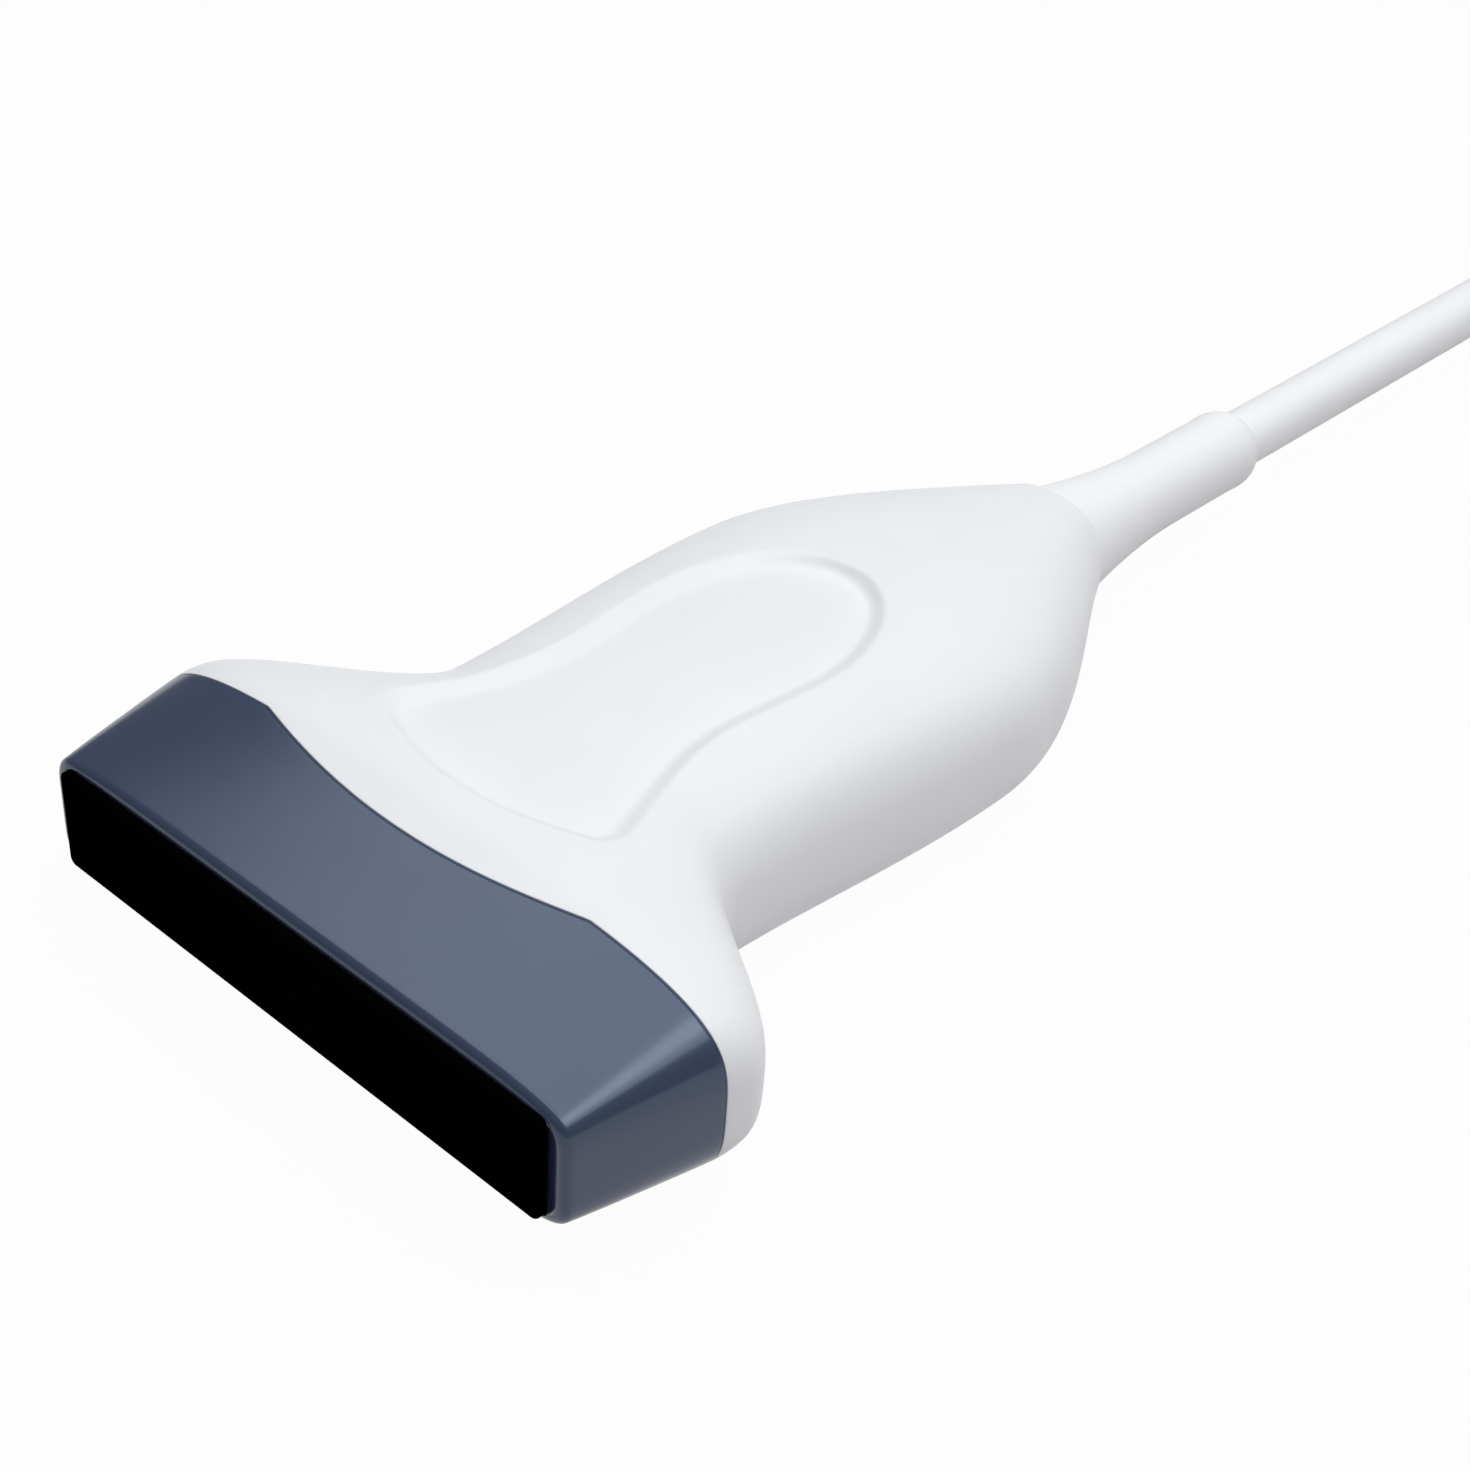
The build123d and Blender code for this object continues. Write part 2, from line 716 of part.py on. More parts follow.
# Strap round the bundle of turns, on the far side of the coil
tie_angle = 360 * tie_width / (2 * pi * coil_middle_radius)
tie_plane = Plane(
    origin=(coil_center_x, y_at(coil_distance) + coil_middle_radius, coil_base_height + coil_height / 2),
    x_dir=(0, 1, 0),
    z_dir=(1, 0, 0),
)
with BuildPart() as cable_tie:
    with BuildSketch(tie_plane):
        RectangleRounded(
            coil_width + 2 * (tie_clearance + tie_thickness),
            coil_height + 2 * (tie_clearance + tie_thickness),
            coil_edge_radius + tie_clearance + tie_thickness,
        )
        RectangleRounded(
            coil_width + 2 * tie_clearance,
            coil_height + 2 * tie_clearance,
            coil_edge_radius + tie_clearance,
            mode=Mode.SUBTRACT,
        )
    revolve(axis=coil_axis, revolution_arc=tie_angle)
cable_tie.part.label = "cable_tie"
export_step(cable_tie.part, "parts/cable_tie.step")

# Last stretch of cable, from the upper row of the coil to the connector's boot
tail_end_distance = boot_tip_distance - boot_insertion
with BuildPart() as cable_tail:
    add(
        cable_along(
            [
                (connector_x, y_at(tail_end_distance), connector_axis_height),
                (connector_x, y_at(tail_bend_distance), connector_axis_height),
                (connector_x, y_at(tail_level_distance), coil_top_height),
                (connector_x, y_at(coil_distance - coil_stub_length), coil_top_height),
            ]
        )
    )
cable_tail.part.label = "cable_tail"
export_step(cable_tail.part, "parts/cable_tail.step")

# Connector case in two halves, closed by four screws from below
connector_plane = Plane(origin=(connector_x, y_at(connector_middle_distance), 0))
case_inner_height = connector_axis_height - connector_wall


def connector_half(outward):
    """Half of the case with its cavity, mating opening and boot opening; outward is 1 for the upper half."""
    split_plane = connector_plane.offset(connector_axis_height)
    outer_side = Axis.Z if outward > 0 else -Axis.Z
    with BuildPart() as half:
        with BuildSketch(split_plane):
            RectangleRounded(connector_width, connector_length, connector_corner_radius)
        extrude(amount=outward * connector_axis_height)
        fillet(half.faces().sort_by(outer_side)[-1].edges(), radius=connector_edge_radius)
        with BuildSketch(split_plane):
            RectangleRounded(
                connector_width - 2 * connector_wall,
                connector_length - 2 * connector_wall,
                connector_corner_radius - connector_wall,
            )
        extrude(amount=outward * case_inner_height, mode=Mode.SUBTRACT)
        with BuildSketch(split_plane):
            with GridLocations(2 * screw_x, 2 * screw_y, 2, 2):
                Circle(boss_radius)
        extrude(amount=outward * case_inner_height)
        with BuildSketch(cross_plane(connector_front_distance, x=connector_x, z=connector_axis_height)):
            Rectangle(block_width + 2 * block_clearance, block_height + 2 * block_clearance)
        extrude(amount=-connector_corner_radius, mode=Mode.SUBTRACT)
        with BuildSketch(cross_plane(connector_back_distance, x=connector_x, z=connector_axis_height)):
            Circle(boot_neck_radius + boot_clearance)
        extrude(amount=connector_wall, mode=Mode.SUBTRACT)
    return half.part


screw_top_height = screw_sink + screw_head_height + screw_length
with BuildPart() as connector_shell_bottom:
    add(connector_half(-1))
    with BuildSketch(connector_plane):
        with GridLocations(2 * screw_x, 2 * screw_y, 2, 2):
            Circle(screw_head_radius + screw_clearance)
    extrude(amount=screw_sink + screw_head_height, mode=Mode.SUBTRACT)
    with BuildSketch(connector_plane):
        with GridLocations(2 * screw_x, 2 * screw_y, 2, 2):
            Circle(screw_radius + screw_clearance)
    extrude(amount=connector_axis_height, mode=Mode.SUBTRACT)
connector_shell_bottom.part.label = "connector_shell_bottom"
export_step(connector_shell_bottom.part, "parts/connector_shell_bottom.step")

with BuildPart() as connector_shell_top:
    add(connector_half(1))
    with BuildSketch(connector_plane.offset(connector_axis_height)):
        with GridLocations(2 * screw_x, 2 * screw_y, 2, 2):
            Circle(screw_radius + shank_clearance)
    extrude(amount=screw_top_height - connector_axis_height + screw_clearance, mode=Mode.SUBTRACT)
connector_shell_top.part.label = "connector_shell_top"
export_step(connector_shell_top.part, "parts/connector_shell_top.step")

with BuildPart() as connector_screws:
    with BuildSketch(connector_plane.offset(screw_sink)):
        with GridLocations(2 * screw_x, 2 * screw_y, 2, 2):
            Circle(screw_head_radius)
    extrude(amount=screw_head_height)
    with BuildSketch(connector_plane.offset(screw_sink + screw_head_height)):
        with GridLocations(2 * screw_x, 2 * screw_y, 2, 2):
            Circle(screw_radius)
    extrude(amount=screw_length)
connector_screws.part.label = "connector_screws"
export_step(connector_screws.part, "parts/connector_screws.step")

# Mating block with a rim round its flat contact pads, held by a lip inside the case
block_plane = cross_plane(block_front_distance, x=connector_x, z=connector_axis_height)
pad_plane = cross_plane(block_front_distance + block_pocket, x=connector_x, z=connector_axis_height)
lip_plane = cross_plane(
    connector_front_distance + connector_wall, x=connector_x, z=connector_axis_height
)
with BuildPart() as connector_block:
    with BuildSketch(block_plane):
        Rectangle(block_width, block_height)
    extrude(amount=block_front_distance - block_back_distance)
    with BuildSketch(block_plane):
        Rectangle(block_width - 2 * block_rim, block_height - 2 * block_rim)
    extrude(amount=-block_pocket, mode=Mode.SUBTRACT)
    with BuildSketch(lip_plane):
        Rectangle(block_width - 2 * connector_corner_radius, block_height + 2 * block_lip)
    extrude(amount=-block_lip_depth)
connector_block.part.label = "connector_block"
export_step(connector_block.part, "parts/connector_block.step")

with BuildPart() as connector_contacts:
    with BuildSketch(pad_plane):
        with GridLocations(pad_pitch_x, pad_pitch_z, pad_column_count, pad_row_count):
            Rectangle(pad_width, pad_height)
    extrude(amount=pad_thickness)
connector_contacts.part.label = "connector_contacts"
export_step(connector_contacts.part, "parts/connector_contacts.step")

connector_board_end = block_back_distance + connector_board_length
with BuildPart() as connector_board:
    with BuildSketch(cross_plane(block_back_distance, x=connector_x, z=connector_axis_height)):
        Rectangle(connector_board_width, connector_board_thickness)
    extrude(amount=-connector_board_length)
connector_board.part.label = "connector_board"
export_step(connector_board.part, "parts/connector_board.step")

# Boot of the connector: flange inside the case, neck through the wall and a tapered sleeve
boot_plane = Plane(origin=(connector_x, y_at(0), connector_axis_height), x_dir=(1, 0, 0), z_dir=(0, 0, 1))
boot_axis = Axis((connector_x, 0, connector_axis_height), (0, 1, 0))
boot_wall_distance = connector_back_distance - connector_wall
boot_flange_distance = boot_wall_distance - boot_flange_thickness
with BuildPart() as connector_boot:
    with BuildSketch(boot_plane):
        with BuildLine():
            Polyline(
                (cable_bore_radius, boot_tip_distance),
                (cable_bore_radius, tail_end_distance),
                (bundle_bore_radius, tail_end_distance),
                (bundle_bore_radius, boot_flange_distance),
                (boot_flange_radius, boot_flange_distance),
                (boot_flange_radius, boot_wall_distance),
                (boot_neck_radius, boot_wall_distance),
                (boot_neck_radius, connector_back_distance),
                (boot_base_radius, connector_back_distance),
                (boot_tip_radius, boot_tip_distance),
                close=True,
            )
        make_face()
    revolve(axis=boot_axis)
connector_boot.part.label = "connector_boot"
export_step(connector_boot.part, "parts/connector_boot.step")

# Stripped cores inside the connector, from the cable's end to the board
with BuildPart() as connector_cores:
    cores_plane = cross_plane(boot_flange_distance, x=connector_x, z=connector_axis_height)
    with BuildSketch(cross_plane(connector_board_end, x=connector_x, z=connector_axis_height)) as cores_flat:
        RectangleRounded(bundle_flat_width, bundle_flat_height, bundle_flat_radius)
    with BuildSketch(cores_plane) as cores_round:
        Circle(bundle_radius)
    loft([cores_flat.sketch.face(), cores_round.sketch.face()])
    with BuildSketch(cores_plane):
        Circle(bundle_radius)
    extrude(amount=boot_flange_distance - tail_end_distance)
connector_cores.part.label = "connector_cores"
export_step(connector_cores.part, "parts/connector_cores.step")
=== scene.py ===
"""Looks of the ultrasound probe on its CAD frame: mouldings, cable, materials, light and camera."""

import json
import math

import bpy
import numpy as np
from mathutils import Matrix, Vector


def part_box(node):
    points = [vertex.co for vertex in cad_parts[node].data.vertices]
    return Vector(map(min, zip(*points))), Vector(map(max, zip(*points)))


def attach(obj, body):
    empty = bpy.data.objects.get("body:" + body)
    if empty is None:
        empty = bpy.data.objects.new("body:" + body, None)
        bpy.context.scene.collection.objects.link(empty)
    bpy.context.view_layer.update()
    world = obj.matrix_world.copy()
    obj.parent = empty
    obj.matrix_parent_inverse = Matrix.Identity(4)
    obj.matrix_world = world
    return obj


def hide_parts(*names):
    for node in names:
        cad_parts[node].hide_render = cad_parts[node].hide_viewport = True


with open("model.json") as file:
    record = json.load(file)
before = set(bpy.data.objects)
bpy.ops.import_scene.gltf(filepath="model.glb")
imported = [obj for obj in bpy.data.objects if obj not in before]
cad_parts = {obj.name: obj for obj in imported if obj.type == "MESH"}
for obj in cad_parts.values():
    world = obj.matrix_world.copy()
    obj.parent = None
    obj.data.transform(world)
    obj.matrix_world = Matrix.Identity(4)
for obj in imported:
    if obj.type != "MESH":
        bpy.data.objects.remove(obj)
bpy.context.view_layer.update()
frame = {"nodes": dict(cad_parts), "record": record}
nodes = frame["nodes"]

# Lengths are in millimetres behind the lens face and become metres in the frame when a mesh is made.
METRE = 0.001
LENS_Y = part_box("acoustic_lens")[0].y / METRE
AXIS_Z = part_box("handle_shell")[1].z / METRE / 2

# Smallest divisor
TINY = 1e-6

# Moulded outline: knots of distance, value and slope for full width, full thickness and squareness
LENS_PROUD = 0.9
SEAM = 15.4
TAIL = 106.0
WIDTH_KNOTS = (
    (0.9, 66.2, 0.451),
    (15.4, 72.745, 0.451),
    (18.3, 73.4, 0.0),
    (34.4, 39.8, 0.0),
    (73.0, 44.6, 0.0),
    (106.0, 15.4, -1.0),
)
THICKNESS_KNOTS = (
    (0.9, 12.9, 0.596),
    (15.4, 21.536, 0.596),
    (18.3, 22.4, 0.0),
    (29.0, 22.4, 0.0),
    (56.5, 23.8, 0.0),
    (106.0, 14.8, -0.5),
)
SQUARENESS_KNOTS = (
    (0.9, 7.5, -0.531),
    (15.4, 3.7, -0.129),
    (29.0, 2.8, 0.0),
    (56.5, 2.8, 0.0),
    (106.0, 2.4, 0.0),
)

# Seam between nose and handle, the seal in it and the rounding of its two lips
SEAM_ARC_HALF_WIDTH = 20.6
SEAM_ARC_DIP = 2.8
SEAM_HALF_GAP = 0.1
SEAL_HALF_WIDTH = 0.09
SEAL_RECESS = 0.05
LIP_RADIUS = 0.08
LIP_STEPS = 5

# Inner surfaces that close the two mouldings
HANDLE_WALL = 2.2
CAVITY_END = 98.0
BORE_RADIUS = 5.0
SPIGOT_INSET = 2.45
SPIGOT_INNER_INSET = 3.65
SPIGOT_END = 20.4
SHOULDER = 11.5
NOSE_FRONT_RADIUS = 0.7
WINDOW_HALF_WIDTH = 31.15
WINDOW_HALF_HEIGHT = 5.3
WINDOW_CORNER = 0.95

# Thumb recess on each broad side
RECESS_DEPTH = 1.15
RECESS_WALL = 1.6
RECESS_FRONT = 19.4
RECESS_CORNER = 23.8
RECESS_BACK = 56.0
RECESS_ROUND = 16.0
RECESS_CORNER_RADIUS = 3.0
LEAST_STEEPNESS = 0.02
RECESS_HALF_KNOTS = ((23.8, 15.5, -0.35), (41.0, 10.3, -0.05), (56.0, 11.3, 0.0))

# Orientation marker on the narrow side
MARKER_DISTANCE = 50.0
MARKER_HALF_LENGTH = 6.0
MARKER_HALF_WIDTH = 1.2
MARKER_HEIGHT = 0.7

# Strain relief: knots of distance, radius and slope
RELIEF_KNOTS = ((106.0, 7.1, -0.19), (127.0, 4.75, 0.0), (138.5, 4.75, 0.0), (143.3, 3.8, -0.9))
RELIEF_INNER = 3.55
RELIEF_FLANGE = 96.4
RELIEF_FLANGE_RADIUS = 6.2
RELIEF_SHANK_RADIUS = 4.95

# Mesh density and steps of the searches along an outline and for the seam
COLUMNS = 288
HANDLE_ROWS = 240
RECESS_ROW_SHARE = 0.78
RECESS_ROW_END = 0.64
NOSE_ROWS = 48
RELIEF_ROWS = 90
RELIEF_COLUMNS = 96
INNER_ROWS = 24
OUTLINE_STEPS = 20000
SEAM_TRIES = 6

# Cable: its sizes, its coil and the ends of its route as points of x, distance and height
CABLE_DIAMETER = 7.0
JACKET_END = 128.0
RELIEF_END = 143.3
COIL_X = 10.0
COIL_DISTANCE = 287.0
COIL_BOTTOM_Z = 4.65
COIL_TOP_Z = 11.65
COIL_INNER = 19.0
COIL_OUTER = 42.0
COIL_ENTRY_DEGREES = 205.714
COIL_RISE_HALF = 0.3
COIL_STEPS = 24
CONNECTOR_X = 52.0
CONNECTOR_Z = 11.0
LEAD_POINTS = (
    (0, JACKET_END, AXIS_Z),
    (0, 190, AXIS_Z),
    (0, 211, AXIS_Z),
    (-9.2, 230, COIL_BOTTOM_Z),
    (-16.1, 244.5, COIL_BOTTOM_Z),
)
TAIL_POINTS = (
    (CONNECTOR_X, 260, COIL_TOP_Z),
    (CONNECTOR_X, 254, COIL_TOP_Z),
    (CONNECTOR_X, 248, CONNECTOR_Z),
    (CONNECTOR_X, 234, CONNECTOR_Z),
)

# Materials: used part of the noise, scales per metre, heights in metres and the cool tint of the nose
NOISE_LOW = 0.3
NOISE_HIGH = 0.7
CLOUD_SCALE = 45
ROUGHNESS_SCALE = 260
GRAIN_HEIGHT = 0.00006
STAIN_SCALE = 300
STREAK_SCALE = 900
RIB_SCALE = 420
RIB_HEIGHT = 0.0003
NOSE_SHEEN = (0.74, 0.84, 1.0, 1.0)

# Stage, in metres and watts
FLOOR_HALF = 4.0
FLOOR_COLOUR = (0.6, 0.57, 0.59, 1)
FLOOR_SEEN_SHARE = 0.97
WORLD_COLOUR = (1, 0.96, 0.99, 1)
WORLD_STRENGTH = 0.2
LAMP_COLOUR = (0.945, 0.98, 1.0)
OVERHEAD_PLACE = (-0.05, 0.06, 0.7)
OVERHEAD_SIZE = (1.06, 0.5)
OVERHEAD_POWER = 4.15
RIDGE_PLACE = (0.38, 0.1, 0.64)
RIDGE_SIZE = (0.36, 0.6)
RIDGE_POWER = 1.9

# Camera: degrees and millimetres, with its place as x, distance and height over the axis
CAMERA_AZIMUTH = 40.60
CAMERA_ELEVATION = 34.93
CAMERA_ROLL = 3.98
CAMERA_PLACE = (126.21, -91.49, 134.19)
SENSOR_WIDTH = 36
FOCAL_LENGTH = 59.05


def smooth_value(knots, distance):
    """Values of a smooth curve through knots of distance, value and slope."""
    places, values, slopes = (np.array(column) for column in zip(*knots))
    index = np.clip(np.searchsorted(places, distance, side="right") - 1, 0, len(places) - 2)
    span = places[index + 1] - places[index]
    t = (distance - places[index]) / span
    rise = 3 * t**2 - 2 * t**3
    curve_in = (t**3 - 2 * t**2 + t) * span * slopes[index]
    curve_out = (t**3 - t**2) * span * slopes[index + 1]
    return values[index] * (1 - rise) + curve_in + values[index + 1] * rise + curve_out


def signed_power(value, power):
    return np.sign(value) * np.abs(value) ** power


def even_angles(distance):
    """Section angles that are evenly spaced along the outline of the section at one distance."""
    dense = np.linspace(0, 2 * math.pi, OUTLINE_STEPS + 1)
    x, z = skin(np.full_like(dense, distance), dense, 0.0)
    steps = np.hypot(np.diff(x), np.diff(z))
    walked = np.concatenate(([0.0], np.cumsum(steps)))
    return np.interp(np.arange(COLUMNS) / COLUMNS * walked[-1], walked, dense)


def skin(distance, angle, inset):
    """Width and height coordinates of the moulded skin, drawn in by an inset."""
    half_width = smooth_value(WIDTH_KNOTS, distance) / 2 - inset
    half_thickness = smooth_value(THICKNESS_KNOTS, distance) / 2 - inset
    power = 2 / smooth_value(SQUARENESS_KNOTS, distance)
    x = half_width * signed_power(np.cos(angle), power)
    z = half_thickness * signed_power(np.sin(angle), power)
    return x, z


def seam_distance(x):
    """Distance of the seam line: straight at both sides, with a shallow arc towards the lens between."""
    radius = (SEAM_ARC_HALF_WIDTH**2 + SEAM_ARC_DIP**2) / (2 * SEAM_ARC_DIP)
    inside = np.abs(x) < SEAM_ARC_HALF_WIDTH
    arc = np.sqrt(np.maximum(radius**2 - x**2, 0)) - (radius - SEAM_ARC_DIP)
    return SEAM - np.where(inside, arc, 0)


def rounded_corner(first, second, radius):
    """Distance inside a corner of two edges that is rounded by a radius."""
    near = (first < radius) & (second < radius)
    rounded = radius - np.hypot(radius - first, radius - second)
    return np.where(near, rounded, np.minimum(first, second))


def recess_depth(x, distance):
    """Depth of the thumb recess: a crisp outer edge, a soft wall and a floor that follows the skin."""
    bow = (RECESS_CORNER - RECESS_FRONT) * (x / RECESS_HALF_KNOTS[0][1]) ** 2
    front = distance - RECESS_FRONT - bow
    half_width = smooth_value(RECESS_HALF_KNOTS, np.minimum(distance, RECESS_BACK))
    side = half_width - np.abs(x)
    across = x / RECESS_HALF_KNOTS[-1][1]
    along = np.maximum(distance - RECESS_BACK, 0) / RECESS_ROUND
    fall = 1 - across**2 - along**2
    steepness = 2 * np.hypot(across / RECESS_HALF_KNOTS[-1][1], along / RECESS_ROUND)
    back = fall / np.maximum(steepness, LEAST_STEEPNESS)
    inside = np.where(distance > RECESS_BACK, back, rounded_corner(front, side, RECESS_CORNER_RADIUS))
    return RECESS_DEPTH * np.sin(math.pi / 2 * np.clip(inside / RECESS_WALL, 0, 1))


def marker_height(distance, z):
    """Height of the orientation ridge, a slim slot shape with a rounded top."""
    along = np.maximum(np.abs(distance - MARKER_DISTANCE) - MARKER_HALF_LENGTH + MARKER_HALF_WIDTH, 0)
    reach = np.hypot(along, z) / MARKER_HALF_WIDTH
    return MARKER_HEIGHT * np.sqrt(np.clip(1 - reach**2, 0, 1))


def ring(x, distance, z):
    """One ring of mesh points in the frame, in metres."""
    shape = np.broadcast(x, distance, z).shape
    parts = (x, np.asarray(distance) + LENS_Y, np.asarray(z) + AXIS_Z)
    return np.stack([np.broadcast_to(part, shape) for part in parts], axis=-1) * METRE


def mesh_from_rings(name, rings, closed):
    """Smooth mesh of quads between rings of equal length; closed joins the last ring to the first."""
    columns = len(rings[0])
    points = np.concatenate(rings)
    faces = []
    count = len(rings) if closed else len(rings) - 1
    for row in range(count):
        here = row * columns
        there = (row + 1) % len(rings) * columns
        for column in range(columns):
            after = (column + 1) % columns
            faces.append((here + column, here + after, there + after, there + column))
    mesh = bpy.data.meshes.new(name)
    mesh.from_pydata(points.tolist(), [], faces)
    mesh.polygons.foreach_set("use_smooth", [True] * len(mesh.polygons))
    mesh.update()
    piece = bpy.data.objects.new(name, mesh)
    bpy.context.scene.collection.objects.link(piece)
    return piece


def seam_at_columns(angles):
    """Seam distance at each section angle, found by stepping to where the skin meets the seam line."""
    distance = np.full(COLUMNS, SEAM)
    for _ in range(SEAM_TRIES):
        x, _ = skin(distance, angles, 0.0)
        distance = seam_distance(x)
    return distance


def make_handle(angles):
    """White one-piece shell with soft thumb recesses and the orientation marker."""
    start = seam_at_columns(angles) + SEAM_HALF_GAP
    end = np.full(COLUMNS, TAIL)
    rings = []

    def add_skin(distance, inset):
        x, z = skin(distance, angles, 0.0)
        depth = recess_depth(x, distance)
        ridge = np.where(x < 0, marker_height(distance, z), 0)
        x, z = skin(distance, angles, inset + depth)
        rings.append(ring(x - ridge, distance, z))

    turns = np.linspace(0, math.pi / 2, LIP_STEPS + 1)
    for turn in turns:
        add_skin(start + LIP_RADIUS * (1 - math.cos(turn)), LIP_RADIUS * (1 - math.sin(turn)))
    for row in np.linspace(0, 1, HANDLE_ROWS + 1)[1:-1]:
        share = np.interp(row, (0, RECESS_ROW_SHARE, 1), (0, RECESS_ROW_END, 1))
        add_skin(start + LIP_RADIUS + (end - start - 2 * LIP_RADIUS) * share, 0.0)
    for turn in turns[::-1]:
        add_skin(end - LIP_RADIUS * (1 - math.cos(turn)), LIP_RADIUS * (1 - math.sin(turn)))
    bore = BORE_RADIUS * np.cos(angles), BORE_RADIUS * np.sin(angles)
    rings.append(ring(bore[0], TAIL, bore[1]))
    rings.append(ring(bore[0], CAVITY_END, bore[1]))
    for share in np.linspace(1, 0, INNER_ROWS + 1):
        distance = start + (CAVITY_END - start) * share
        x, z = skin(distance, angles, HANDLE_WALL)
        rings.append(ring(x, distance, z))
    return mesh_from_rings("handle", rings, closed=True)


def window_ring(angles, distance):
    """Ring round the lens window, one point in the direction of each point of the skin."""
    x, z = skin(np.full(COLUMNS, LENS_PROUD), angles, 0.0)
    scale_x = WINDOW_HALF_WIDTH / np.maximum(np.abs(x), TINY)
    scale_z = WINDOW_HALF_HEIGHT / np.maximum(np.abs(z), TINY)
    scale = np.minimum(scale_x, scale_z)
    x = x * scale
    z = z * scale
    core_x = np.clip(x, -WINDOW_HALF_WIDTH + WINDOW_CORNER, WINDOW_HALF_WIDTH - WINDOW_CORNER)
    core_z = np.clip(z, -WINDOW_HALF_HEIGHT + WINDOW_CORNER, WINDOW_HALF_HEIGHT - WINDOW_CORNER)
    reach = np.maximum(np.hypot(x - core_x, z - core_z), TINY)
    round_x = core_x + (x - core_x) / reach * WINDOW_CORNER
    round_z = core_z + (z - core_z) / reach * WINDOW_CORNER
    return ring(round_x, distance, round_z)


def make_nose(angles):
    """Blue-grey moulding round the lens, with its spigot inside the handle."""
    end = seam_at_columns(angles) - SEAM_HALF_GAP
    start = np.full(COLUMNS, LENS_PROUD)
    rings = [window_ring(angles, SHOULDER), window_ring(angles, LENS_PROUD)]

    def add_skin(distance, inset):
        x, z = skin(distance, angles, inset)
        rings.append(ring(x, distance, z))

    turns = np.linspace(0, math.pi / 2, LIP_STEPS + 1)
    for turn in turns:
        inset = NOSE_FRONT_RADIUS * (1 - math.sin(turn))
        add_skin(start + NOSE_FRONT_RADIUS * (1 - math.cos(turn)), inset)
    for share in np.linspace(0, 1, NOSE_ROWS + 1)[1:-1]:
        add_skin(start + NOSE_FRONT_RADIUS + (end - start - NOSE_FRONT_RADIUS - LIP_RADIUS) * share, 0.0)
    for turn in turns[::-1]:
        add_skin(end - LIP_RADIUS * (1 - math.cos(turn)), LIP_RADIUS * (1 - math.sin(turn)))
    add_skin(end, SPIGOT_INSET)
    add_skin(np.full(COLUMNS, SPIGOT_END), SPIGOT_INSET)
    add_skin(np.full(COLUMNS, SPIGOT_END), SPIGOT_INNER_INSET)
    add_skin(np.full(COLUMNS, SHOULDER), SPIGOT_INNER_INSET)
    return mesh_from_rings("nose", rings, closed=True)


def make_seal(angles):
    """Thin seal that fills the seam almost flush with the skin."""
    seam = seam_at_columns(angles)
    front = seam - SEAL_HALF_WIDTH
    back = seam + SEAL_HALF_WIDTH
    corners = ((front, SEAL_RECESS), (back, SEAL_RECESS), (back, HANDLE_WALL), (front, HANDLE_WALL))
    rings = []
    for distance, inset in corners:
        x, z = skin(distance, angles, inset)
        rings.append(ring(x, distance, z))
    return mesh_from_rings("seal", rings, closed=True)


def make_relief():
    """Strain relief: flange and shank inside the tail, flared base and slim sleeve with a rounded end."""
    angles = np.arange(RELIEF_COLUMNS) / RELIEF_COLUMNS * 2 * math.pi
    places = np.linspace(TAIL, RELIEF_END, RELIEF_ROWS)
    outer = [(place, smooth_value(RELIEF_KNOTS, place)) for place in places]
    inner = [
        (RELIEF_END, RELIEF_INNER),
        (JACKET_END, RELIEF_INNER),
        (RELIEF_FLANGE, RELIEF_INNER),
        (RELIEF_FLANGE, RELIEF_FLANGE_RADIUS),
        (CAVITY_END, RELIEF_FLANGE_RADIUS),
        (CAVITY_END, RELIEF_SHANK_RADIUS),
        (TAIL, RELIEF_SHANK_RADIUS),
    ]
    round_x = np.cos(angles)
    round_z = np.sin(angles)
    rings = [ring(radius * round_x, place, radius * round_z) for place, radius in outer + inner]
    return mesh_from_rings("relief", rings, closed=True)


def coil_points():
    """Turns of the stored cable: a lower row wound inwards, then an upper row wound outwards."""
    row_turns = (COIL_OUTER - COIL_INNER) / CABLE_DIAMETER
    steps = round(2 * row_turns * COIL_STEPS)
    points = []
    for step in range(steps + 1):
        turn = 2 * row_turns * step / steps
        from_middle = turn - row_turns
        radius = COIL_INNER + CABLE_DIAMETER * abs(from_middle)
        sweep = math.radians(COIL_ENTRY_DEGREES) - 2 * math.pi * turn
        rise = min(max(from_middle / COIL_RISE_HALF, -1), 1)
        share = 0.5 + 0.5 * math.sin(math.pi / 2 * rise)
        height = COIL_BOTTOM_Z + (COIL_TOP_Z - COIL_BOTTOM_Z) * share
        x = COIL_X + radius * math.cos(sweep)
        points.append((x, COIL_DISTANCE + radius * math.sin(sweep), height))
    return points


def make_cable():
    """One cable: straight out of the relief, aside to the coil, round its turns, to the connector."""
    route = [*LEAD_POINTS, *coil_points(), *TAIL_POINTS]
    curve = bpy.data.curves.new("cable_route", "CURVE")
    curve.dimensions = "3D"
    spline = curve.splines.new("NURBS")
    spline.points.add(len(route) - 1)
    for point, (x, distance, z) in zip(spline.points, route):
        point.co = (x * METRE, (distance + LENS_Y) * METRE, z * METRE, 1)
    spline.order_u = 3
    spline.use_endpoint_u = True
    spline.resolution_u = 6
    curve.bevel_depth = CABLE_DIAMETER / 2 * METRE
    curve.bevel_resolution = 10
    curve.use_fill_caps = True
    cable = bpy.data.objects.new("cord", curve)
    bpy.context.scene.collection.objects.link(cable)
    return cable


